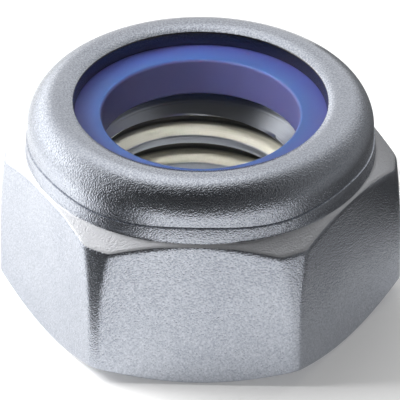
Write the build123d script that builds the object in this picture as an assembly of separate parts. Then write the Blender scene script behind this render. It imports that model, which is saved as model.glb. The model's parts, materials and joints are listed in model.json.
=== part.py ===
from build123d import *
import os
from math import cos, radians, sqrt, tan

# Hexagon lock nut with a nylon insert, thread M12 x 1.75.
#
# Two pieces: a cold-formed and turned steel body, and a nylon ring that sits in a
# counterbore above the thread and is held there by the lip of the collar, which is
# crimped over it.
#
# Millimetres.  The origin is the centre of the bearing face, +Z runs along the thread
# towards the collar, and two corners of the hexagon lie on the X axis.

# ---- Thread ----
THREAD_DIAMETER = 12.0          # nominal, M12
THREAD_PITCH = 1.75             # coarse
COUNTERSINK_STEP = 0.45         # how far each countersink reaches outside the thread
COUNTERSINK_ANGLE = 90.0        # included

# ---- Hexagon ----
ACROSS_FLATS = 18.8             # made size for a 19 mm spanner
HEX_HEIGHT = 8.55               # bearing face to the top chamfer, at the middle of a flat
CHAMFER_ANGLE = 30.0            # of both chamfers, from the bearing face
BEARING_INSET = 0.25            # the bottom chamfer starts this far inside the flats
CORNER_UNDERFILL = 0.15         # the formed corners stop this short of sharp
CORNER_UNDERFILL_TOP = 0.45     # and this short just under the top chamfer
CORNER_FULL_HEIGHT = 3.0        # up to here the corners are at their fullest
FLAT_EDGE_BREAK = 0.14          # where a flat rolls over into the top chamfer

# ---- Collar and crimped lip ----
COLLAR_HEIGHT = 3.45            # from the top chamfer at the flats to the top of the nut
COLLAR_SETBACK = 0.2            # collar wall inside the flats
COLLAR_WALL = 1.5               # round the insert
COLLAR_ROUNDING = 1.7           # outer radius of the crimped-over top
CRIMP_BAND = 0.5                # straight wall between the rounding and the foot
FOOT_STEP = 0.06                # how far the foot stands out of the collar wall
LIP_THICKNESS = 0.95            # over the insert
LIP_OVERHANG = 1.0              # how far the lip reaches in over the insert
LIP_NOSE_RADIUS = 0.5           # of its rounded inner edge
LIP_BEND = 0.55                 # slope inside the bent lip, across its corner

# ---- Nylon insert ----
INSERT_THICKNESS = 2.2
INSERT_BORE = 10.5              # tighter than the bolt, which forms its own thread in it
INSERT_BORE_CHAMFER = 0.2       # on its upper edge
INSERT_CLEARANCE = 0.05         # all round, in its counterbore

# ---- What follows from them ----
# Basic profile of an ISO metric thread: the minor diameter is 2 x 5/8 H under nominal.
thread_triangle_height = THREAD_PITCH * sqrt(3) / 2
minor_radius = THREAD_DIAMETER / 2 - thread_triangle_height * 5 / 8
countersink_radius = THREAD_DIAMETER / 2 + COUNTERSINK_STEP
countersink_depth = (countersink_radius - minor_radius) / tan(radians(COUNTERSINK_ANGLE / 2))

flat_radius = ACROSS_FLATS / 2
sharp_corner_radius = flat_radius / cos(radians(30))
corner_radius = sharp_corner_radius - CORNER_UNDERFILL
corner_top_radius = sharp_corner_radius - CORNER_UNDERFILL_TOP
bearing_radius = flat_radius - BEARING_INSET
chamfer_slope = tan(radians(CHAMFER_ANGLE))

nut_height = HEX_HEIGHT + COLLAR_HEIGHT
collar_radius = flat_radius - COLLAR_SETBACK
foot_radius = collar_radius + FOOT_STEP
counterbore_radius = collar_radius - COLLAR_WALL
lip_radius = counterbore_radius - LIP_OVERHANG
lip_underside = nut_height - LIP_THICKNESS

insert_radius = counterbore_radius - INSERT_CLEARANCE
insert_top = lip_underside - INSERT_CLEARANCE
insert_bottom = insert_top - INSERT_THICKNESS
counterbore_floor = insert_bottom - INSERT_CLEARANCE


def top_chamfer_height(radius):
    """Height of the cone that chamfers the top of the hexagon, at this radius."""
    return HEX_HEIGHT + (flat_radius - radius) * chamfer_slope


def turned_section():
    """Half section of the body as if turned from round bar: radius along X, height along Y.

    Everything that is round about the thread axis is in it, inside and out.  The flats
    come later.
    """
    # The top of the nut is a narrow flat ring between the rounding and the lip's nose.
    rounding_centre = Vector(collar_radius - COLLAR_ROUNDING, nut_height - COLLAR_ROUNDING)
    nose_centre = Vector(lip_radius + LIP_NOSE_RADIUS, nut_height - LIP_NOSE_RADIUS)
    step_top = rounding_centre.Y - CRIMP_BAND

    with BuildLine() as outline:
        Polyline(
            (countersink_radius, 0),
            (bearing_radius, 0),
            (corner_radius, (corner_radius - bearing_radius) * chamfer_slope),
            (corner_radius, CORNER_FULL_HEIGHT),
        )
        TangentArc(
            (corner_radius, CORNER_FULL_HEIGHT),
            (corner_top_radius, top_chamfer_height(corner_top_radius)),
            tangent=(0, 1),
        )
        Polyline(
            (corner_top_radius, top_chamfer_height(corner_top_radius)),
            (foot_radius, top_chamfer_height(foot_radius)),
            (foot_radius, step_top - FOOT_STEP),
            (collar_radius, step_top),
            (collar_radius, rounding_centre.Y),
        )
        TangentArc(
            (collar_radius, rounding_centre.Y), (rounding_centre.X, nut_height), tangent=(0, 1)
        )
        Line((rounding_centre.X, nut_height), (nose_centre.X, nut_height))
        TangentArc((nose_centre.X, nut_height), (lip_radius, nose_centre.Y), tangent=(-1, 0))
        Polyline(
            (lip_radius, nose_centre.Y),
            (lip_radius, lip_underside),
            (counterbore_radius - LIP_BEND, lip_underside),
            (counterbore_radius, lip_underside - LIP_BEND),
            (counterbore_radius, counterbore_floor),
            (countersink_radius, counterbore_floor),
            (minor_radius, counterbore_floor - countersink_depth),
            (minor_radius, countersink_depth),
            (countersink_radius, 0),
        )
    return make_face(outline.edges())


def insert_section():
    """Half section of the nylon ring, its outer top corner pressed to the lip's slope."""
    bore_radius = INSERT_BORE / 2
    outline = Polyline(
        (bore_radius, insert_bottom),
        (insert_radius, insert_bottom),
        (insert_radius, insert_top - LIP_BEND),
        (insert_radius - LIP_BEND, insert_top),
        (bore_radius + INSERT_BORE_CHAMFER, insert_top),
        (bore_radius, insert_top - INSERT_BORE_CHAMFER),
        close=True,
    )
    return make_face(outline.edges())


def turn(section):
    """Revolve a half section about the thread axis."""
    return revolve(Plane.XZ * section, Axis.Z)


def nut_body():
    """The turned form cut to a hexagon: its corners stay round where it is smaller."""
    prism = extrude(RegularPolygon(flat_radius, 6, major_radius=False), nut_height)
    body = turn(turned_section()) & prism
    flats = body.faces().filter_by(GeomType.PLANE).filter_by(Axis.Z, reverse=True)
    top_edges = [flat.edges().sort_by(Axis.Z)[-1] for flat in flats]
    return chamfer(top_edges, FLAT_EDGE_BREAK)


pieces = {
    "nut_body": nut_body(),
    "nylon_insert": turn(insert_section()),
}

os.makedirs("parts", exist_ok=True)
for name, solid in pieces.items():
    export_step(solid, f"parts/{name}.step")
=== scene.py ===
"""Hexagon lock nut with a nylon insert: its finishes, its cut thread and a small studio.

Sizes are in metres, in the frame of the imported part: the origin is the centre of the
bearing face, +Z runs along the thread towards the collar, and two corners of the
hexagon lie on the X axis.
"""

import json
import logging
import math
from dataclasses import dataclass
from enum import Enum

import bmesh
import bpy
import numpy as np
from mathutils import Matrix, Vector

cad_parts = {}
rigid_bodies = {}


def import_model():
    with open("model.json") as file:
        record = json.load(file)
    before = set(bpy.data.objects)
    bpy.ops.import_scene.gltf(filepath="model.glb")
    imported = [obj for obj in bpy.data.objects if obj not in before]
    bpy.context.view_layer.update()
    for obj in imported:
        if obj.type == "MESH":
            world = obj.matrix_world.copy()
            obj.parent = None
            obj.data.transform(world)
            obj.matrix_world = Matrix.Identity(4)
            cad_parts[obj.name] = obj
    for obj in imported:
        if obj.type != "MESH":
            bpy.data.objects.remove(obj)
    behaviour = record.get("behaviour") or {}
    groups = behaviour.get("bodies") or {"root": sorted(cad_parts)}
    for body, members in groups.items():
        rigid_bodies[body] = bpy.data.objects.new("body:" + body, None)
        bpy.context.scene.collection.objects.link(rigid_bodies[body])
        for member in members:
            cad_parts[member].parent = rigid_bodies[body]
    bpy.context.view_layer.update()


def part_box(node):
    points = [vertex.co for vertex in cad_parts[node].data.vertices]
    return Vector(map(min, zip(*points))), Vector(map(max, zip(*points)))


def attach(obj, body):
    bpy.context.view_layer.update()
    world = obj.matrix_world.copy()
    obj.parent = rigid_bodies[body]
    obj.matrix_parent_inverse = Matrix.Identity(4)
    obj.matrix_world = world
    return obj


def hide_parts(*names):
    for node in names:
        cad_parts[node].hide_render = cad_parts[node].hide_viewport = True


LOG = logging.getLogger("lock_nut")

MM = 0.001
SIDES = 6

Colour = tuple[float, float, float]
Socket = bpy.types.NodeSocket
Sockets = bpy.types.bpy_prop_collection


class ThreadHand(Enum):
    """Which way a thread winds as it climbs."""

    RIGHT = 1
    LEFT = -1


# ---------------------------------------------------------------------------
# Sections and rings
# ---------------------------------------------------------------------------


def station(radius: float | np.ndarray, height: float | np.ndarray, columns: int) -> np.ndarray:
    """One point of a section at every column.

    Args:
        radius: distance from the thread axis, one value or one for each column.
        height: height above the bearing face, likewise.
        columns: how many columns the piece has.

    Returns:
        An array of (columns, 2), radius first.
    """
    point = np.empty((columns, 2))
    point[:, 0] = radius
    point[:, 1] = height
    return point


def run(start: np.ndarray, end: np.ndarray, steps: int) -> list[np.ndarray]:
    """Stations along a straight stretch, both ends included."""
    return [start + (end - start) * (i / steps) for i in range(steps + 1)]


def towards(point: np.ndarray, target: np.ndarray, reach: float | np.ndarray) -> np.ndarray:
    """The station that lies a distance from a point, on the way to another.

    Args:
        point: the station to start from.
        target: the station to head for.
        reach: the distance, one value or one for each column.

    Returns:
        The station at that distance.
    """
    step = target - point
    length = np.linalg.norm(step, axis=1, keepdims=True)
    return point + step / length * np.reshape(reach, (-1, 1))


def rounded(
    before: np.ndarray,
    corner: np.ndarray,
    after: np.ndarray,
    reach: float | np.ndarray | tuple[float | np.ndarray, float | np.ndarray],
    steps: int,
) -> list[np.ndarray]:
    """Stations of a curve that rounds a corner and is tangent to both of its sides.

    Args:
        before: a station on the side that leads to the corner.
        corner: the sharp corner.
        after: a station on the side that leaves it.
        reach: how far along each side the rounding starts, or one reach for each side.
        steps: how many chords the curve has.

    Returns:
        The curve's stations, from the first side to the second.  Equal reaches make it
        a circle's arc.
    """
    reach_before, reach_after = reach if isinstance(reach, tuple) else (reach, reach)
    first = towards(corner, before, reach_before)
    last = towards(corner, after, reach_after)
    chord = np.linalg.norm(last - first, axis=1)
    sides = np.linalg.norm(first - corner, axis=1) + np.linalg.norm(last - corner, axis=1)
    weight = chord / sides
    stations = []
    for i in range(steps + 1):
        t = i / steps
        parts = ((1 - t) ** 2, 2 * t * (1 - t) * weight, t**2)
        total = parts[0] + parts[1] + parts[2]
        mixed = first * parts[0] + corner * np.reshape(parts[1], (-1, 1)) + last * parts[2]
        stations.append(mixed / np.reshape(total, (-1, 1)))
    return stations


def arc(
    centre: tuple[float, float],
    radius: float,
    start: float,
    end: float,
    steps: int,
    columns: int,
) -> list[np.ndarray]:
    """Stations of an arc that is the same at every column.

    Args:
        centre: its centre, as a radius and a height.
        radius: its own radius.
        start: the angle where it starts, from +radius.
        end: the angle where it ends.
        steps: how many chords it has.
        columns: how many columns the piece has.

    Returns:
        The arc's stations, both ends included.
    """
    stations = []
    for i in range(steps + 1):
        angle = start + (end - start) * i / steps
        out = centre[0] + radius * math.cos(angle)
        up = centre[1] + radius * math.sin(angle)
        stations.append(station(out, up, columns))
    return stations


def soft_minimum(a: np.ndarray, b: float | np.ndarray, blend: float) -> np.ndarray:
    """The smaller of two lengths, eased over from one to the other within a blend."""
    overlap = np.maximum(blend - np.abs(a - b), 0.0) / blend
    return np.minimum(a, b) - overlap**2 * blend / 4


def ring_mesh(
    name: str, angles: np.ndarray, stations: list[np.ndarray], closed: bool
) -> bpy.types.Mesh:
    """A mesh with one ring of vertices for each station of a section.

    Args:
        name: the mesh's name.
        angles: the angle of every column about the thread axis.
        stations: the section, anticlockwise as seen with the axis on the left.
        closed: whether the last station joins the first.

    Returns:
        The mesh, with its faces pointing outwards.
    """
    columns = len(angles)
    rows = len(stations)
    section = np.stack(stations)
    points = np.empty((rows, columns, 3))
    points[:, :, 0] = section[:, :, 0] * np.cos(angles)
    points[:, :, 1] = section[:, :, 0] * np.sin(angles)
    points[:, :, 2] = section[:, :, 1]
    index = np.arange(rows * columns).reshape(rows, columns)
    if closed:
        index = np.vstack([index, index[:1]])
    beside = np.roll(index, -1, axis=1)
    faces = np.stack([index[:-1], beside[:-1], beside[1:], index[1:]], axis=-1).reshape(-1, 4)
    mesh = bpy.data.meshes.new(name)
    mesh.from_pydata(points.reshape(-1, 3).tolist(), [], faces.tolist())
    mesh.update()
    return mesh


def shade(mesh: bpy.types.Mesh, sharp_angle: float) -> None:
    """Smooth shading, apart from edges that turn by more than an angle in degrees."""
    mesh.shade_smooth()
    mesh.set_sharp_from_angle(angle=math.radians(sharp_angle))


def new_object(name: str, mesh: bpy.types.Mesh) -> bpy.types.Object:
    """An object at the origin that shows a mesh.

    Args:
        name: the object's name.
        mesh: what it shows.

    Returns:
        The object, linked into the scene.
    """
    piece = bpy.data.objects.new(name, mesh)
    bpy.context.scene.collection.objects.link(piece)
    return piece


@dataclass(frozen=True)
class Columns:
    """The columns of a hexagonal ring: close together at the corners, wide on the flats."""

    count: int = 288
    crowding: float = 0.8

    def angles(self) -> np.ndarray:
        """The angle of every column about the thread axis, from the corner on +X."""
        turn = np.arange(self.count) * (2 * math.pi / self.count)
        return turn - self.crowding / SIDES * np.sin(SIDES * turn)


# ---------------------------------------------------------------------------
# Node trees
# ---------------------------------------------------------------------------


class Tree:
    """A short way to add and join the nodes of a shader or a geometry tree."""

    def __init__(self, tree: bpy.types.NodeTree) -> None:
        """Start with the nodes that the tree has."""
        self.tree = tree

    def node(self, kind: str, **settings: object) -> bpy.types.Node:
        """Add a node and set its properties.

        Args:
            kind: the node's type.
            settings: its properties by name.

        Returns:
            The new node.
        """
        made = self.tree.nodes.new(kind)
        for name, value in settings.items():
            setattr(made, name, value)
        return made

    def feed(self, socket: Socket, value: object) -> None:
        """Join an output to a socket, or set the socket's own value.

        Args:
            socket: the input to feed.
            value: an output to join to it, or a plain value.
        """
        if isinstance(value, Socket):
            self.tree.links.new(value, socket)
        else:
            socket.default_value = value

    def maths(self, operation: str, *values: object) -> Socket:
        """One step of arithmetic.

        Args:
            operation: the Math node's operation.
            values: its inputs in order, each a number or an output.

        Returns:
            The node's result.
        """
        made = self.node("ShaderNodeMath", operation=operation)
        for socket, value in zip(made.inputs, values):
            self.feed(socket, value)
        return made.outputs[0]

    def ramp(
        self, value: Socket, start: float, end: float, low: float = 0.0, high: float = 1.0
    ) -> Socket:
        """Pass a value through a straight ramp that is level outside its ends.

        Args:
            value: what climbs the ramp.
            start: where the ramp starts.
            end: where it ends, above or below its start.
            low: what comes out before the start.
            high: what comes out after the end.

        Returns:
            The ramp's result.
        """
        made = self.node("ShaderNodeMapRange")
        self.feed(made.inputs["Value"], value)
        self.feed(made.inputs["From Min"], start)
        self.feed(made.inputs["From Max"], end)
        self.feed(made.inputs["To Min"], low)
        self.feed(made.inputs["To Max"], high)
        return made.outputs["Result"]

    def blend(self, share: Socket, first: Colour | Socket, second: Colour | Socket) -> Socket:
        """One colour passing into another.

        Args:
            share: how much there is of the second colour.
            first: a plain colour or an output.
            second: likewise.

        Returns:
            The mixed colour.
        """
        mix = self.node("ShaderNodeMix", data_type="RGBA")
        self.feed(mix.inputs["Factor"], share)
        for name, colour in (("A", first), ("B", second)):
            self.feed(mix.inputs[name], (*colour, 1.0) if isinstance(colour, tuple) else colour)
        return mix.outputs["Result"]

    def noise(self, place: Socket, size: float, detail: float = 2.0) -> Socket:
        """A noise whose blots are about one size across.

        Args:
            place: where it is read.
            size: the size of its blots.
            detail: how many finer layers it has.

        Returns:
            The noise's value.
        """
        made = self.node("ShaderNodeTexNoise")
        self.feed(made.inputs["Vector"], place)
        self.feed(made.inputs["Scale"], 1.0 / size)
        self.feed(made.inputs["Detail"], detail)
        return made.outputs["Fac"]

    def bump(
        self,
        height: Socket,
        depth: float,
        strength: float | Socket = 1.0,
        under: Socket | None = None,
    ) -> Socket:
        """A fine relief.

        Args:
            height: the relief's height, as a share of its depth.
            depth: how deep the whole of it is.
            strength: how much of it is left.
            under: the normal that it lies on, where there is one.

        Returns:
            The normal with the relief on it.
        """
        made = self.node("ShaderNodeBump")
        self.feed(made.inputs["Height"], height)
        self.feed(made.inputs["Distance"], depth)
        self.feed(made.inputs["Strength"], strength)
        if under is not None:
            self.feed(made.inputs["Normal"], under)
        return made.outputs["Normal"]

    def place(self) -> tuple[Socket, Socket, Socket]:
        """Where the shaded point is, in its piece's own coordinates.

        Returns:
            Its place, its distance from the thread axis and its height.
        """
        place = self.node("ShaderNodeTexCoord").outputs["Object"]
        axes = self.node("ShaderNodeSeparateXYZ")
        self.feed(axes.inputs["Vector"], place)
        flat = self.node("ShaderNodeVectorMath", operation="MULTIPLY")
        self.feed(flat.inputs[0], place)
        self.feed(flat.inputs[1], (1.0, 1.0, 0.0))
        across = self.node("ShaderNodeVectorMath", operation="LENGTH")
        self.feed(across.inputs[0], flat.outputs["Vector"])
        return place, across.outputs["Value"], axes.outputs["Z"]


def new_material(name: str) -> tuple[bpy.types.Material, Tree, bpy.types.Node]:
    """Start a material with the usual shader.

    Args:
        name: the material's name.

    Returns:
        The material, its tree and its shader.
    """
    material = bpy.data.materials.new(name)
    material.use_nodes = True
    return material, Tree(material.node_tree), material.node_tree.nodes["Principled BSDF"]


# ---------------------------------------------------------------------------
# Finishes
# ---------------------------------------------------------------------------


@dataclass(frozen=True)
class Cone:
    """A cone about the thread axis, by its height on the axis and its fall outwards."""

    apex: float
    slope: float


@dataclass(frozen=True)
class ZincFinish:
    """Bright zinc plate on tumbled steel: a fine even grain, satin rather than mirror.

    The top chamfer is duller, the zinc close to the axis is painted dark as painted shade
    at the lip's inner edge, and the grain is rubbed down on the very top of the nut.
    """

    chamfer_cone: Cone
    name: str = "zinc_plate"
    colour: Colour = (0.565, 0.59, 0.64)
    stain: Colour = (0.31, 0.335, 0.39)
    stain_start: float = 0.35
    stain_end: float = 0.9
    roughness: float = 0.21
    roughness_spread: float = 0.08
    grain: float = 0.09 * MM
    grain_depth: float = 0.037 * MM
    pitting: float = 0.45 * MM
    pitting_depth: float = 0.006 * MM
    patch: float = 4.0 * MM
    patch_weight: float = 0.25
    broad_detail: float = 3.0

    # Painted shade: the zinc closer to the axis than the radius below is painted this dark, at
    # the lip's inner edge under its overhang.
    lip_edge_painted_shade: Colour = (0.13, 0.12, 0.115)
    lip_shade_radius: float = 6.79 * MM
    lip_shade_fade: float = 0.03 * MM
    chamfer: Colour = (0.80, 0.80, 0.81)
    chamfer_metal: float = 0.35
    chamfer_share: float = 0.55
    chamfer_near: float = 0.03 * MM
    chamfer_far: float = 0.06 * MM
    burnish_start: float = 11.55 * MM
    burnish_end: float = 11.95 * MM
    burnish_left: float = 0.25

    def build(self) -> bpy.types.Material:
        """Make the finish, its grain worked out from the piece's own coordinates.

        Returns:
            The material.
        """
        material, tree, shader = new_material(self.name)
        place, radius, height = tree.place()
        patch = tree.noise(place, self.patch, self.broad_detail)
        grain = tree.noise(place, self.grain)
        pitting = tree.noise(place, self.pitting, self.broad_detail)

        weighted = tree.maths("MULTIPLY_ADD", patch, self.patch_weight, grain)
        stained = tree.ramp(weighted, self.stain_start, self.stain_end)
        plate = tree.blend(stained, self.colour, self.stain)
        # Painted shade: darken the zinc near the axis, at the lip's inner edge.
        lip_shade_end = self.lip_shade_radius - self.lip_shade_fade
        out_of_lip_shade = tree.ramp(radius, lip_shade_end, self.lip_shade_radius)
        plate = tree.blend(out_of_lip_shade, self.lip_edge_painted_shade, plate)
        on_chamfer = self._on_chamfer(tree, radius, height)
        tree.feed(shader.inputs["Base Color"], tree.blend(on_chamfer, plate, self.chamfer))
        metal = tree.maths("MULTIPLY_ADD", on_chamfer, self.chamfer_metal - 1.0, 1.0)
        tree.feed(shader.inputs["Metallic"], metal)

        spread = tree.maths("MULTIPLY_ADD", patch, self.roughness_spread, self.roughness)
        speckle = tree.maths("MULTIPLY_ADD", grain, self.roughness_spread, spread)
        centred = tree.maths("SUBTRACT", speckle, self.roughness_spread)
        tree.feed(shader.inputs["Roughness"], centred)

        left = tree.ramp(height, self.burnish_start, self.burnish_end, 1.0, self.burnish_left)
        fine = tree.bump(grain, self.grain_depth, left)
        coarse = tree.bump(pitting, self.pitting_depth, under=fine)
        tree.feed(shader.inputs["Normal"], coarse)
        return material

    def _on_chamfer(self, tree: Tree, radius: Socket, height: Socket) -> Socket:
        """How much of the chamfer's duller finish there is: only close to its cone.

        Args:
            tree: the material's tree.
            radius: the distance from the thread axis.
            height: the height above the bearing face.

        Returns:
            The share of the chamfer's own colour.
        """
        cone = self.chamfer_cone
        level = tree.maths("MULTIPLY_ADD", radius, cone.slope, height)
        off_cone = tree.maths("ABSOLUTE", tree.maths("SUBTRACT", level, cone.apex))
        return tree.ramp(off_cone, self.chamfer_far, self.chamfer_near, 0.0, self.chamfer_share)


@dataclass(frozen=True)
class CutThreadFinish:
    """The tapped bore: flanks painted pale yellowish as a painted highlight, grey crests and
    cones, and roots painted dark as painted shade.

    The flanks are told from the crests and the roots by their distance from the thread
    axis, and from the countersinks' cones by their height.
    """

    name: str = "tapped_zinc"
    # Painted highlight: the flanks are painted far paler than the crests of the same metal.
    flank_painted_highlight: Colour = (0.92, 0.89, 0.78)
    flank_streak: Colour = (0.74, 0.73, 0.60)
    crest: Colour = (0.54, 0.57, 0.62)
    # Painted shade: the thread's roots are painted this dark.
    root: Colour = (0.14, 0.14, 0.13)
    flank_metal: float = 0.3
    roughness: float = 0.30
    crest_radius: float = 5.075 * MM
    flank_radius: float = 5.14 * MM
    root_start: float = 5.70 * MM
    root_end: float = 5.86 * MM
    bottom_cone: float = 1.40 * MM
    top_cone: float = 7.35 * MM
    cone_fade: float = 0.04 * MM
    line: float = 0.09 * MM
    line_depth: float = 0.012 * MM

    def build(self) -> bpy.types.Material:
        """Make the finish, with the tap's fine rings running round the bore.

        Returns:
            The material.
        """
        material, tree, shader = new_material(self.name)
        _, radius, height = tree.place()
        ringed = tree.node("ShaderNodeCombineXYZ")
        tree.feed(ringed.inputs["X"], radius)
        tree.feed(ringed.inputs["Z"], height)
        lines = tree.noise(ringed.outputs["Vector"], self.line)

        above_low_cone = tree.ramp(height, self.bottom_cone, self.bottom_cone + self.cone_fade)
        below_high_cone = tree.ramp(height, self.top_cone, self.top_cone - self.cone_fade)
        threaded = tree.maths("MULTIPLY", above_low_cone, below_high_cone)
        outside_crest = tree.ramp(radius, self.crest_radius, self.flank_radius)
        in_root = tree.ramp(radius, self.root_start, self.root_end)
        on_flank = tree.maths("MULTIPLY", outside_crest, threaded)
        # Painted shade: how much of the roots' dark colour a point gets.
        root_shade_share = tree.maths("MULTIPLY", in_root, threaded)

        # Painted highlight: the flanks get their pale colour.
        streaked = tree.blend(lines, self.flank_painted_highlight, self.flank_streak)
        dressed = tree.blend(on_flank, self.crest, streaked)
        tree.feed(shader.inputs["Base Color"], tree.blend(root_shade_share, dressed, self.root))
        metal = tree.maths("MULTIPLY_ADD", on_flank, self.flank_metal - 1.0, 1.0)
        tree.feed(shader.inputs["Metallic"], metal)
        tree.feed(shader.inputs["Roughness"], self.roughness)
        tree.feed(shader.inputs["Normal"], tree.bump(lines, self.line_depth))
        return material


@dataclass(frozen=True)
class NylonFinish:
    """Dyed nylon, waxy and a little see-through: bluest round its bore, greyer in it."""

    name: str = "blue_nylon"
    bore_colour: Colour = (0.10, 0.10, 0.25)
    inner_colour: Colour = (0.034, 0.085, 0.26)
    outer_colour: Colour = (0.073, 0.072, 0.27)
    bore_radius: float = 5.26 * MM
    rim_radius: float = 5.36 * MM
    inner_radius: float = 5.4 * MM
    outer_radius: float = 6.9 * MM
    roughness: float = 0.42
    glow_through: float = 0.35
    glow_depth: float = 0.8 * MM
    graze: float = 0.06 * MM
    graze_depth: float = 0.002 * MM

    def build(self) -> bpy.types.Material:
        """Make the finish, tinted by the distance from the thread axis.

        Returns:
            The material.
        """
        material, tree, shader = new_material(self.name)
        place, radius, _ = tree.place()
        outwards = tree.ramp(radius, self.inner_radius, self.outer_radius)
        face = tree.blend(outwards, self.inner_colour, self.outer_colour)
        out_of_bore = tree.ramp(radius, self.bore_radius, self.rim_radius)
        whole = tree.blend(out_of_bore, self.bore_colour, face)
        tree.feed(shader.inputs["Base Color"], whole)
        tree.feed(shader.inputs["Roughness"], self.roughness)
        tree.feed(shader.inputs["Subsurface Weight"], self.glow_through)
        tree.feed(shader.inputs["Subsurface Scale"], self.glow_depth)
        grazed = tree.bump(tree.noise(place, self.graze), self.graze_depth)
        tree.feed(shader.inputs["Normal"], grazed)
        return material


# ---------------------------------------------------------------------------
# The nut
# ---------------------------------------------------------------------------


@dataclass
class TappedBore:
    """The thread in the body: one long helical groove between two countersinks."""

    bottom: float
    top: float
    mouth_radius: float
    columns: Columns
    weld: float
    diameter: float = 12.0 * MM
    pitch: float = 1.75 * MM
    hand: ThreadHand = ThreadHand.RIGHT
    rows_per_pitch: int = 16
    root_rounding: float = 0.12 * MM
    crest_rounding: float = 0.05 * MM
    start: float = 0.3

    # Basic profile of an ISO metric thread, as shares of its sharp triangle's height.
    depth_share: float = 5 / 8
    crest_cut: float = 1 / 4

    def mesh(self, finish: bpy.types.Material) -> bpy.types.Mesh:
        """Run the geometry tree once and keep its result as a plain mesh.

        Args:
            finish: what the bore is dressed with.

        Returns:
            The bore as a tube, open at both ends.
        """
        tree = self._tree()
        holder = new_object("tapped_bore_maker", bpy.data.meshes.new("tapped_bore_start"))
        modifier = holder.modifiers.new("tapped_bore", "NODES")
        modifier.node_group = tree
        settings = {**self._sizes(), "Material": finish}
        for item in tree.interface.items_tree:
            if item.item_type == "SOCKET" and item.name in settings:
                modifier[item.identifier] = settings[item.name]
        evaluated = holder.evaluated_get(bpy.context.evaluated_depsgraph_get())
        mesh = bpy.data.meshes.new_from_object(evaluated)
        bpy.data.objects.remove(holder)
        return mesh

    def _sizes(self) -> dict[str, float]:
        """The geometry tree's named sizes.

        Returns:
            Each size, by the name of the tree's input that takes it.
        """
        triangle_height = self.pitch * math.sqrt(3) / 2
        return {
            "Minor Radius": self.diameter / 2 - triangle_height * self.depth_share,
            "Sharp Height": triangle_height,
            "Pitch": self.pitch * self.hand.value,
            "Row Height": self.pitch / self.rows_per_pitch,
            "Start": self.start * self.pitch,
            "Bottom": self.bottom,
            "Top": self.top,
            "Mouth Radius": self.mouth_radius,
        }

    def _tree(self) -> bpy.types.NodeTree:
        """The geometry tree: a sheet of rows, rolled into a tube and sheared into a helix.

        Returns:
            The tree, with an input for each size and one for the material.
        """
        group = bpy.data.node_groups.new("tapped_bore", "GeometryNodeTree")
        sockets = group.interface
        for name in self._sizes():
            sockets.new_socket(name, in_out="INPUT", socket_type="NodeSocketFloat")
        sockets.new_socket("Material", in_out="INPUT", socket_type="NodeSocketMaterial")
        sockets.new_socket("Geometry", in_out="OUTPUT", socket_type="NodeSocketGeometry")
        tree = Tree(group)
        given = tree.node("NodeGroupInput").outputs
        turns = math.ceil((self.top - self.bottom) / self.pitch) + 1
        rows = turns * self.rows_per_pitch
        sheet = tree.node("GeometryNodeMeshGrid")
        tree.feed(sheet.inputs["Size X"], 1.0)
        tree.feed(sheet.inputs["Size Y"], 1.0)
        tree.feed(sheet.inputs["Vertices X"], self.columns.count + 1)
        tree.feed(sheet.inputs["Vertices Y"], rows + 1)
        place = tree.node("ShaderNodeSeparateXYZ")
        tree.feed(place.inputs[0], tree.node("GeometryNodeInputPosition").outputs[0])

        angle = self._angle(tree, place.outputs["X"])
        row = tree.maths("MULTIPLY", tree.maths("ADD", place.outputs["Y"], 0.5), rows)
        along = tree.maths("MULTIPLY", row, given["Row Height"])
        height = self._height(tree, given, angle, along)
        groove = self._groove(tree, given, along)
        radius = tree.maths("MAXIMUM", groove, self._cones(tree, given, height))

        rolled = tree.node("ShaderNodeCombineXYZ")
        across = tree.maths("MULTIPLY", radius, tree.maths("COSINE", angle))
        aside = tree.maths("MULTIPLY", radius, tree.maths("SINE", angle))
        tree.feed(rolled.inputs["X"], across)
        tree.feed(rolled.inputs["Y"], aside)
        tree.feed(rolled.inputs["Z"], height)
        placed = tree.node("GeometryNodeSetPosition")
        tree.feed(placed.inputs["Geometry"], sheet.outputs["Mesh"])
        tree.feed(placed.inputs["Position"], rolled.outputs["Vector"])
        flipped = tree.node("GeometryNodeFlipFaces")
        tree.feed(flipped.inputs["Mesh"], placed.outputs["Geometry"])
        merged = tree.node("GeometryNodeMergeByDistance")
        tree.feed(merged.inputs["Geometry"], flipped.outputs["Mesh"])
        tree.feed(merged.inputs["Distance"], self.weld)
        real = tree.node("GeometryNodeRealizeInstances")
        tree.feed(real.inputs["Geometry"], merged.outputs["Geometry"])
        dressed = tree.node("GeometryNodeSetMaterial")
        tree.feed(dressed.inputs["Geometry"], real.outputs["Geometry"])
        tree.feed(dressed.inputs["Material"], given["Material"])
        result = tree.node("NodeGroupOutput")
        tree.feed(result.inputs["Geometry"], dressed.outputs["Geometry"])
        return group

    def _angle(self, tree: Tree, across: Socket) -> Socket:
        """The angle about the thread axis, crowded as the columns are.

        Args:
            tree: the geometry tree.
            across: the place across the sheet, which is one wide and centred.

        Returns:
            The angle in radians.
        """
        turn = tree.maths("MULTIPLY", tree.maths("ADD", across, 0.5), 2 * math.pi)
        wave = tree.maths("SINE", tree.maths("MULTIPLY", turn, SIDES))
        shift = tree.maths("MULTIPLY", wave, self.columns.crowding / SIDES)
        return tree.maths("SUBTRACT", turn, shift)

    @staticmethod
    def _height(tree: Tree, given: Sockets, angle: Socket, along: Socket) -> Socket:
        """The height of a row, which climbs with the angle and stops at both faces.

        Args:
            tree: the geometry tree.
            given: its inputs by name.
            angle: the angle about the thread axis.
            along: how far up the sheet the row is.

        Returns:
            The height above the bearing face.
        """
        share = tree.maths("DIVIDE", angle, 2 * math.pi)
        climb = tree.maths("MULTIPLY", share, given["Pitch"])
        pitch = tree.maths("ABSOLUTE", given["Pitch"])
        lowest = tree.maths("SUBTRACT", given["Bottom"], pitch)
        free_height = tree.maths("ADD", tree.maths("ADD", lowest, along), climb)
        above = tree.maths("MAXIMUM", free_height, given["Bottom"])
        return tree.maths("MINIMUM", above, given["Top"])

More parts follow.
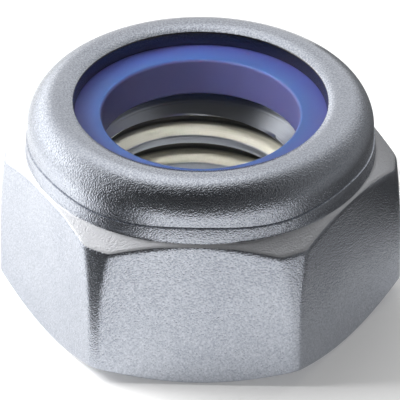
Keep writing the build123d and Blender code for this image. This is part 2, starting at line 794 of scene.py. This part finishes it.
    def _groove(self, tree: Tree, given: Sockets, along: Socket) -> Socket:
        """The thread's profile, by how far a row is through its turn.

        Args:
            tree: the geometry tree.
            given: its inputs by name.
            along: how far up the sheet the row is.

        Returns:
            The profile's radius.
        """
        from_start = tree.maths("ADD", along, given["Start"])
        turns = tree.maths("DIVIDE", from_start, tree.maths("ABSOLUTE", given["Pitch"]))
        phase = tree.maths("FRACT", turns)
        triangle = tree.maths("ABSOLUTE", tree.maths("MULTIPLY_ADD", phase, 2.0, -1.0))
        sharp = tree.maths("MULTIPLY", triangle, given["Sharp Height"])
        raised = tree.maths("MULTIPLY_ADD", given["Sharp Height"], -self.crest_cut, sharp)
        crest = tree.maths("SMOOTH_MAX", raised, 0.0, self.crest_rounding)
        depth = tree.maths("MULTIPLY", given["Sharp Height"], self.depth_share)
        cut = tree.maths("SMOOTH_MIN", crest, depth, self.root_rounding)
        return tree.maths("ADD", given["Minor Radius"], cut)

    @staticmethod
    def _cones(tree: Tree, given: Sockets, height: Socket) -> Socket:
        """The nearer countersink, whose cones fall off at 45 degrees.

        Args:
            tree: the geometry tree.
            given: its inputs by name.
            height: the height of the row.

        Returns:
            Its cone's radius.
        """
        from_bottom = tree.maths("SUBTRACT", height, given["Bottom"])
        from_top = tree.maths("SUBTRACT", given["Top"], height)
        low_cone = tree.maths("SUBTRACT", given["Mouth Radius"], from_bottom)
        high_cone = tree.maths("SUBTRACT", given["Mouth Radius"], from_top)
        return tree.maths("MAXIMUM", low_cone, high_cone)


@dataclass
class NutBody:
    """The steel body: barrel-cornered hexagon, rounded collar and crimped lip."""

    flat_radius: float
    corner_radius: float
    height: float
    columns: Columns
    weld: float = 0.002 * MM
    sharp_angle: float = 32.0

    # Hexagon
    bearing_inset: float = 0.25 * MM
    chamfer_angle: float = 30.0
    hex_height: float = 8.72 * MM
    corner_full_height: float = 3.0 * MM
    corner_taper: float = 0.35 * MM
    corner_blend: float = 0.1 * MM
    bottom_edge_reach: float = 0.1 * MM
    bottom_edge_share: float = 0.45  # of the bottom chamfer, at most
    flat_edge_fall: float = 0.26 * MM
    flat_edge_reach: float = 0.22 * MM
    flat_edge_share: float = 0.5  # of the top chamfer, at most

    # Neck between the top chamfer and the collar's foot
    neck_least: float = 0.10 * MM
    neck_most: float = 0.16 * MM
    neck_clear: float = 1.6  # times the flat edge's reach, kept free of the neck
    neck_share: float = 0.45  # of the narrowest top chamfer, at least

    # Collar, and the crease between its foot and its wall
    collar_setback: float = 0.2 * MM
    foot_step: float = 0.06 * MM
    foot_worn: float = 0.2  # share of its step that the foot loses at the crease
    crease_height: float = 9.8 * MM
    crease_dip: float = 0.26 * MM
    crease_depth: float = 0.05 * MM
    crease_start: float = 0.08 * MM  # this far below the crease's height
    crease_side: float = 0.045 * MM  # as far below it as above it
    crease_floor: float = 0.015 * MM  # this far below it
    rounding: float = 1.7 * MM

    # Crimped lip and counterbore
    brow_width: float = 0.45 * MM
    brow_fall: float = 0.2 * MM
    brow_reach: float = 0.3 * MM
    nose: float = 0.06 * MM
    lip_radius: float = 6.7 * MM
    lip_lean: float = 0.05 * MM
    lip_underside: float = 11.05 * MM
    lip_bend: float = 0.55 * MM
    counterbore_radius: float = 7.7 * MM
    counterbore_floor: float = 8.75 * MM
    mouth_radius: float = 6.45 * MM

    def build(self, zinc: bpy.types.Material, tapped: bpy.types.Material) -> bpy.types.Object:
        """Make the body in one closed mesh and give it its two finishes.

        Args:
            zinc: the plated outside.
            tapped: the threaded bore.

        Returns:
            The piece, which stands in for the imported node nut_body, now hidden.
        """
        angles = self.columns.angles()
        outside = ring_mesh("outside", angles, self._section(angles), closed=False)
        thread = TappedBore(
            bottom=0.0,
            top=self.counterbore_floor,
            mouth_radius=self.mouth_radius,
            columns=self.columns,
            weld=self.weld,
        )
        joined = bmesh.new()
        joined.from_mesh(outside)
        outside_faces = len(joined.faces)
        joined.from_mesh(thread.mesh(tapped))
        for number, face in enumerate(joined.faces):
            face.material_index = int(number >= outside_faces)
        bmesh.ops.remove_doubles(joined, verts=joined.verts, dist=self.weld)
        bmesh.ops.recalc_face_normals(joined, faces=joined.faces)
        open_edges = sum(1 for edge in joined.edges if not edge.is_manifold)
        LOG.info("nut body: %d faces, %d open edges", len(joined.faces), open_edges)
        mesh = bpy.data.meshes.new("lock_nut_body")
        joined.to_mesh(mesh)
        joined.free()
        mesh.materials.append(zinc)
        mesh.materials.append(tapped)
        shade(mesh, self.sharp_angle)
        piece = new_object("lock_nut_body", mesh)
        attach(piece, "root")
        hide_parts("nut_body")
        return piece

    def top_chamfer(self) -> Cone:
        """The cone that chamfers the top of the hexagon."""
        slope = math.tan(math.radians(self.chamfer_angle))
        return Cone(self.hex_height + self.flat_radius * slope, slope)

    def _section(self, angles: np.ndarray) -> list[np.ndarray]:
        """The section at every column, from the bottom of the bore round to its top."""
        return self._hexagon(angles) + self._collar(angles) + self._lip()

    def _from_flat(self, angles: np.ndarray) -> np.ndarray:
        """The angle of every column from the middle of its flat."""
        side = 2 * math.pi / SIDES
        return np.mod(angles, side) - side / 2

    def _wall(self, angles: np.ndarray, height: float | np.ndarray) -> np.ndarray:
        """The hexagon's wall: its flats, or the barrel where that is less.

        Args:
            angles: the angle of every column about the thread axis.
            height: one height, or one for each column.

        Returns:
            The wall's radius at every column.
        """
        flats = self.flat_radius / np.cos(self._from_flat(angles))
        rise = self.hex_height - self.corner_full_height
        share = np.clip((height - self.corner_full_height) / rise, 0.0, 1.0)
        barrel = self.corner_radius - self.corner_taper * share**2
        return soft_minimum(flats, barrel, self.corner_blend)

    def _cone_height(self, radius: float | np.ndarray) -> float | np.ndarray:
        """Height of the top chamfer at a radius."""
        cone = self.top_chamfer()
        return cone.apex - radius * cone.slope

    def _top_edge(self, angles: np.ndarray, passes: int = 3) -> np.ndarray:
        """Where the wall meets the top chamfer.

        Args:
            angles: the angle of every column about the thread axis.
            passes: how often the height is worked out again from the radius.

        Returns:
            The edge's station.
        """
        radius = self._wall(angles, self.hex_height)
        for _ in range(passes):
            radius = self._wall(angles, self._cone_height(radius))
        return station(radius, self._cone_height(radius), self.columns.count)

    def _hexagon(self, angles: np.ndarray) -> list[np.ndarray]:
        """Bearing face, bottom chamfer, wall, top chamfer and the neck above it.

        Args:
            angles: the angle of every column about the thread axis.

        Returns:
            Its stations, from the bore's mouth up to the collar's foot.
        """
        count = self.columns.count
        slope = math.tan(math.radians(self.chamfer_angle))
        bearing_radius = self.flat_radius - self.bearing_inset
        mouth = station(self.mouth_radius, 0.0, count)
        bearing = station(bearing_radius, 0.0, count)
        low_radius = self._wall(angles, 0.0)
        low = station(low_radius, (low_radius - bearing_radius) * slope, count)
        high = self._top_edge(angles)
        foot_radius = self.flat_radius - self.collar_setback + self.foot_step
        foot = station(foot_radius, self._cone_height(foot_radius), count)
        crease = station(foot_radius, self._crease(angles), count)

        bottom_chamfer = np.linalg.norm(low - bearing, axis=1)
        bottom_edge = np.minimum(self.bottom_edge_reach, self.bottom_edge_share * bottom_chamfer)
        top_chamfer = np.linalg.norm(high - foot, axis=1)
        top_edge = np.minimum(self.flat_edge_reach, self.flat_edge_share * top_chamfer)
        room = top_chamfer - top_edge * self.neck_clear
        neck_across = np.clip(room, self.neck_share * top_chamfer.min(), self.neck_most)
        neck_up = np.maximum(neck_across, self.neck_least)

        wall = self._wall_rows(angles, low[:, 1] + bottom_edge, high[:, 1] - self.flat_edge_fall)
        bearing_edge = (self.bottom_edge_reach, bottom_edge)
        stations = run(mouth, towards(bearing, mouth, self.bottom_edge_reach), steps=4)[:-1]
        stations += rounded(mouth, bearing, low, bearing_edge, steps=4)
        stations += rounded(bearing, low, wall[2], bottom_edge, steps=5)[:-1]
        stations += wall
        edge = self._flat_edge(wall, high, foot, top_edge)
        stations += edge[1:]
        stations += run(edge[-1], towards(foot, high, neck_across), steps=5)[1:-1]
        stations += rounded(high, foot, crease, (neck_across, neck_up), steps=10)
        return stations

    def _flat_edge(
        self,
        wall: list[np.ndarray],
        high: np.ndarray,
        foot: np.ndarray,
        reach: np.ndarray,
        steps: int = 8,
    ) -> list[np.ndarray]:
        """The edge where the wall rolls over into the top chamfer.

        Args:
            wall: the wall's stations, from the bottom up.
            high: the sharp edge.
            foot: the chamfer's inner end.
            reach: how far over the chamfer the edge goes.
            steps: how many chords it has.

        Returns:
            Its stations, started on the wall's last one and eased into the curve.
        """
        edge = rounded(wall[-2], high, foot, (self.flat_edge_fall, reach), steps)
        gap = wall[-1] - edge[0]
        return [point + gap * (1 - i / steps) ** 2 for i, point in enumerate(edge)]

    def _wall_rows(
        self, angles: np.ndarray, first: np.ndarray, last: np.ndarray, rows: int = 26
    ) -> list[np.ndarray]:
        """Stations up the hexagon's wall, from one height at each column to another.

        Args:
            angles: the angle of every column about the thread axis.
            first: where the lowest row is at every column.
            last: where the highest row is.
            rows: how many steps lie between them.

        Returns:
            The stations, from the bottom up.
        """
        stations = []
        for i in range(rows + 1):
            level = first + (last - first) * i / rows
            stations.append(station(self._wall(angles, level), level, self.columns.count))
        return stations

    def _crease(self, angles: np.ndarray) -> np.ndarray:
        """Height of the crease under the collar, which dips towards each corner."""
        towards_corner = (1 + np.cos(SIDES * angles)) / 2
        return self.crease_height - self.crease_dip * towards_corner

    def _collar(self, angles: np.ndarray) -> list[np.ndarray]:
        """Crease, crimp band, rounding, flat top, brow and the lip's leaning opening.

        Args:
            angles: the angle of every column about the thread axis.

        Returns:
            Its stations, from the collar's foot over the top to the lip's underside.
        """
        count = self.columns.count
        collar_radius = self.flat_radius - self.collar_setback
        foot_radius = collar_radius + self.foot_step
        worn_radius = foot_radius - self.foot_worn * self.foot_step
        crease = self._crease(angles)
        rounding_centre = (collar_radius - self.rounding, self.height - self.rounding)
        edge_radius = self.lip_radius + self.lip_lean
        out = station(collar_radius, crease + self.crease_side, count)
        shoulder = station(collar_radius, rounding_centre[1], count)
        outer_top = station(rounding_centre[0], self.height, count)
        brow_top = station(edge_radius + self.brow_width, self.height, count)
        lip_top = station(edge_radius, self.height - self.brow_fall, count)
        lip_foot = station(self.lip_radius, self.lip_underside, count)
        brow = rounded(outer_top, brow_top, lip_top, self.brow_reach, steps=8)
        nose = rounded(brow_top, lip_top, lip_foot, self.nose, steps=6)
        stations = [
            station(foot_radius, crease - self.crease_start, count),
            station(worn_radius, crease - self.crease_side, count),
            station(collar_radius - self.crease_depth, crease - self.crease_floor, count),
            out,
        ]
        stations += run(out, shoulder, steps=4)[1:-1]
        stations += arc(rounding_centre, self.rounding, 0.0, math.pi / 2, 24, count)
        stations += run(outer_top, brow[0], steps=3)[1:-1]
        stations += brow + nose
        return stations + run(nose[-1], lip_foot, steps=3)[1:]

    def _lip(self) -> list[np.ndarray]:
        """Under the lip and down the counterbore, whose floor meets the thread's top.

        Returns:
            Its stations, from the foot of the lip's opening inwards to the bore.
        """
        count = self.columns.count
        bend_foot = self.lip_underside - self.lip_bend
        under = station(self.lip_radius, self.lip_underside, count)
        bend = station(self.counterbore_radius - self.lip_bend, self.lip_underside, count)
        wall_top = station(self.counterbore_radius, bend_foot, count)
        wall_foot = station(self.counterbore_radius, self.counterbore_floor, count)
        mouth = station(self.mouth_radius, self.counterbore_floor, count)
        stations = run(under, bend, steps=2)[1:]
        stations += run(bend, wall_top, steps=2)[1:]
        stations += run(wall_top, wall_foot, steps=3)[1:]
        stations += run(wall_foot, mouth, steps=3)[1:]
        return stations


@dataclass
class NylonInsert:
    """The ring that grips the bolt: moulded, with every edge a little round."""

    outer_radius: float
    bottom: float
    top: float
    bore_radius: float = 5.25 * MM
    inner_edge: float = 0.16 * MM
    outer_slope: float = 0.55 * MM
    sharp_angle: float = 40.0
    columns: int = 240

    def build(self, nylon: bpy.types.Material) -> bpy.types.Object:
        """Make the ring and dress it.

        Args:
            nylon: its finish.

        Returns:
            The piece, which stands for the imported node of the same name.
        """
        angles = np.arange(self.columns) * (2 * math.pi / self.columns)
        mesh = ring_mesh("lock_ring", angles, self._section(), closed=True)
        mesh.materials.append(nylon)
        shade(mesh, self.sharp_angle)
        piece = new_object("lock_ring", mesh)
        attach(piece, "root")
        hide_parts("nylon_insert")
        LOG.info("nylon insert: %d faces", len(mesh.polygons))
        return piece

    def _section(self) -> list[np.ndarray]:
        """The ring's section, from the foot of its bore round the outside.

        Returns:
            Its stations, the last of which leads back to the first.
        """
        count = self.columns
        edge = self.inner_edge
        low_in = station(self.bore_radius, self.bottom, count)
        low_out = station(self.outer_radius, self.bottom, count)
        slope_foot = station(self.outer_radius, self.top - self.outer_slope, count)
        slope_head = station(self.outer_radius - self.outer_slope, self.top, count)
        high_in = station(self.bore_radius, self.top, count)
        stations = rounded(high_in, low_in, low_out, edge, steps=6)
        stations += run(stations[-1], towards(low_out, low_in, edge), steps=4)[1:-1]
        stations += rounded(low_in, low_out, slope_foot, edge, steps=5)
        stations += [slope_foot]
        stations += rounded(slope_foot, slope_head, high_in, edge, steps=6)
        stations += run(stations[-1], towards(high_in, slope_head, edge), steps=8)[1:-1]
        stations += rounded(slope_head, high_in, low_in, edge, steps=8)
        stations += run(stations[-1], stations[0], steps=8)[1:-1]
        return stations


# ---------------------------------------------------------------------------
# The studio
# ---------------------------------------------------------------------------


def heading(azimuth: float, elevation: float) -> Vector:
    """A direction from the nut, one long.

    Args:
        azimuth: its angle round the thread axis from +X, in degrees.
        elevation: its angle above the floor, in degrees.

    Returns:
        The direction.
    """
    across = math.radians(azimuth)
    up = math.radians(elevation)
    level = math.cos(up)
    return Vector((level * math.cos(across), level * math.sin(across), math.sin(up)))


@dataclass(frozen=True)
class Softbox:
    """A square soft lamp that looks at the nut and isn't mirrored in its metal."""

    name: str
    azimuth: float
    elevation: float
    distance: float
    size: float
    brightness: float
    spread: float = 180.0
    target: tuple[float, float, float] = (0.0, 0.0, 5.5 * MM)

    def hang(self) -> None:
        """Hang the lamp and turn it to the point that it lights."""
        direction = heading(self.azimuth, self.elevation)
        data = bpy.data.lights.new(self.name, "AREA")
        data.shape = "SQUARE"
        data.size = self.size
        data.energy = self.brightness * math.pi * self.size**2
        data.spread = math.radians(self.spread)
        lamp = bpy.data.objects.new(self.name, data)
        lamp.location = Vector(self.target) + direction * self.distance
        lamp.rotation_euler = direction.to_track_quat("Z", "Y").to_euler()
        lamp.visible_glossy = False
        bpy.context.scene.collection.objects.link(lamp)


@dataclass(frozen=True)
class Glow:
    """A part of the dome that is lit, with a soft rim.

    The rim is a cap's edge: the share of light grows from none to all while the
    direction's length along the axis goes from `rim_out` to `rim_in`.
    """

    axis: tuple[float, float, float]
    rim_out: float
    rim_in: float
    level: float


@dataclass(frozen=True)
class Dome:
    """The studio's walls and ceiling: lit overhead, behind, and on both sides."""

    shade: float = 0.05
    back_wall: Glow = Glow((-0.03, 0.82, 0.57), 0.43, 0.9, 0.85)
    left_window: Glow = Glow((-0.86, 0.50, -0.09), 0.42, 0.98, 2.7)
    right_wall: Glow = Glow((0.97, 0.17, 0.17), 0.5, 0.8, 0.25)
    skylight: Glow = Glow((-0.24, 0.40, 0.883), 0.82, 0.965, 1.3)

    def build(self) -> bpy.types.World:
        """Light the world by direction.

        Returns:
            The world.
        """
        world = bpy.data.worlds.new("studio_dome")
        world.use_nodes = True
        tree = Tree(world.node_tree)
        background = world.node_tree.nodes["Background"]
        place = tree.node("ShaderNodeTexCoord").outputs["Generated"]
        bright: float | Socket = self.shade
        for glow in (self.back_wall, self.left_window, self.right_wall, self.skylight):
            bright = tree.maths("MAXIMUM", self._cap(tree, place, glow), bright)
        tree.feed(background.inputs["Strength"], bright)
        tree.feed(background.inputs["Color"], (1.0, 1.0, 1.0, 1.0))
        return world

    @staticmethod
    def _cap(tree: Tree, place: Socket, glow: Glow) -> Socket:
        """How much of a glow there is in a direction.

        Args:
            tree: the world's tree.
            place: the direction.
            glow: the glow.

        Returns:
            The glow's light there.
        """
        along = tree.node("ShaderNodeVectorMath", operation="DOT_PRODUCT")
        tree.feed(along.inputs[0], place)
        tree.feed(along.inputs[1], Vector(glow.axis).normalized())
        return tree.ramp(along.outputs["Value"], glow.rim_out, glow.rim_in, 0.0, glow.level)


@dataclass(frozen=True)
class Screen:
    """A grey card that curves round a part of the nut, seen only in its gloss: painted shade
    in the metal's reflections.
    """

    name: str
    start: float
    end: float
    radius: float
    height: float
    shade: float
    panels: int = 24

    def stand(self) -> None:
        """Stand the card on the floor, out of the picture and without a shadow."""
        points = []
        for i in range(self.panels + 1):
            turn = math.radians(self.start + (self.end - self.start) * i / self.panels)
            across = (self.radius * math.cos(turn), self.radius * math.sin(turn))
            points += [(*across, 0.0), (*across, self.height)]
        faces = [(2 * i, 2 * i + 1, 2 * i + 3, 2 * i + 2) for i in range(self.panels)]
        mesh = bpy.data.meshes.new(self.name)
        mesh.from_pydata(points, [], faces)
        material, tree, shader = new_material(self.name)
        tree.feed(shader.inputs["Base Color"], (self.shade, self.shade, self.shade, 1.0))
        tree.feed(shader.inputs["Roughness"], 1.0)
        tree.feed(shader.inputs["Specular IOR Level"], 0.0)
        mesh.materials.append(material)
        card = new_object(self.name, mesh)
        # Seen only in the metal's reflections, as painted shade there.
        card.visible_camera = False
        card.visible_diffuse = False
        card.visible_shadow = False


@dataclass(frozen=True)
class Paper:
    """The floor's finish: pale and dull, and lit up a little where it is looked at."""

    name: str = "pale_paper"
    colour: Colour = (0.90, 0.90, 0.90)
    roughness: float = 0.9
    gloss: float = 0.1
    lift: float = 0.2

    def build(self) -> bpy.types.Material:
        """Make the finish; its lift is seen only directly, mirrored or through something.

        Returns:
            The material.
        """
        material, tree, shader = new_material(self.name)
        tree.feed(shader.inputs["Base Color"], (*self.colour, 1.0))
        tree.feed(shader.inputs["Roughness"], self.roughness)
        tree.feed(shader.inputs["Specular IOR Level"], self.gloss)
        ray = tree.node("ShaderNodeLightPath").outputs
        seen = tree.maths("MAXIMUM", ray["Is Camera Ray"], ray["Is Glossy Ray"])
        seen = tree.maths("MAXIMUM", seen, ray["Is Transmission Ray"])
        tree.feed(shader.inputs["Emission Color"], (1.0, 1.0, 1.0, 1.0))
        tree.feed(shader.inputs["Emission Strength"], tree.maths("MULTIPLY", seen, self.lift))
        return material


@dataclass
class Studio:
    """Pale floor, soft lamps, grey cards and the camera."""

    aim: Vector
    azimuth: float = -88.3
    elevation: float = 33.5
    roll: float = 0.17
    distance: float = 0.45
    field_width: float = 21.33 * MM
    sensor_width: float = 36.0
    floor_size: float = 1.6
    paper: Paper = Paper()
    dome: Dome = Dome()
    lamps: tuple[Softbox, ...] = (
        Softbox("key", 182.0, 38.0, 66.0 * MM, 32.0 * MM, 17.2),
        Softbox(
            name="bore_lamp",
            azimuth=-92.0,
            elevation=66.0,
            distance=60.0 * MM,
            size=12.0 * MM,
            brightness=0.95,
            spread=16.0,
            target=(0.0, 4.4 * MM, 7.5 * MM),
        ),
    )
    # Cards that paint shade into the metal's reflections.
    screens: tuple[Screen, ...] = (
        Screen("right_screen", -45.0, 64.0, 15.5 * MM, 12.0 * MM, 0.2),
        Screen("front_left_screen", -143.0, -115.0, 15.0 * MM, 9.5 * MM, 0.13),
        Screen("front_screen", -153.0, -12.0, 40.0 * MM, 26.0 * MM, 0.08),
    )

    def build(self) -> None:
        """Set up everything round the nut."""
        self._floor()
        bpy.context.scene.world = self.dome.build()
        for lamp in self.lamps:
            lamp.hang()
        for screen in self.screens:
            screen.stand()
        self._camera()
        bpy.context.scene.view_settings.view_transform = "Standard"

    def _floor(self) -> None:
        """A large pale sheet under the nut, seen as white apart from the shadow on it."""
        half = self.floor_size / 2
        corners = [(-half, -half, 0), (half, -half, 0), (half, half, 0), (-half, half, 0)]
        mesh = bpy.data.meshes.new("floor")
        mesh.from_pydata(corners, [], [(0, 1, 2, 3)])
        mesh.materials.append(self.paper.build())
        floor = new_object("floor", mesh)

    def _camera(self) -> None:
        """A long lens that looks down on the nut."""
        direction = heading(self.azimuth, self.elevation)
        data = bpy.data.cameras.new("camera")
        data.sensor_width = self.sensor_width
        data.lens = self.sensor_width * self.distance / self.field_width
        camera = bpy.data.objects.new("camera", data)
        place = Matrix.Translation(self.aim + direction * self.distance)
        turn = direction.to_track_quat("Z", "Y").to_matrix().to_4x4()
        roll = Matrix.Rotation(math.radians(self.roll), 4, "Z")
        camera.matrix_world = place @ turn @ roll
        bpy.context.scene.collection.objects.link(camera)
        bpy.context.scene.camera = camera


def main() -> None:
    """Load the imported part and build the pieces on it."""
    logging.basicConfig(level=logging.INFO, format="%(name)s: %(message)s")
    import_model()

    body_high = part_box("nut_body")[1]
    ring_low, ring_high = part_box("nylon_insert")
    body = NutBody(
        flat_radius=body_high.y,
        corner_radius=body_high.x,
        height=body_high.z,
        columns=Columns(),
    )
    zinc = ZincFinish(chamfer_cone=body.top_chamfer())
    body.build(zinc.build(), CutThreadFinish().build())
    insert = NylonInsert(outer_radius=ring_high.x, bottom=ring_low.z, top=ring_high.z)
    insert.build(NylonFinish().build())
    Studio(aim=Vector((-0.02 * MM, 0.0, 5.49 * MM))).build()


if __name__ == "__main__":
    main()
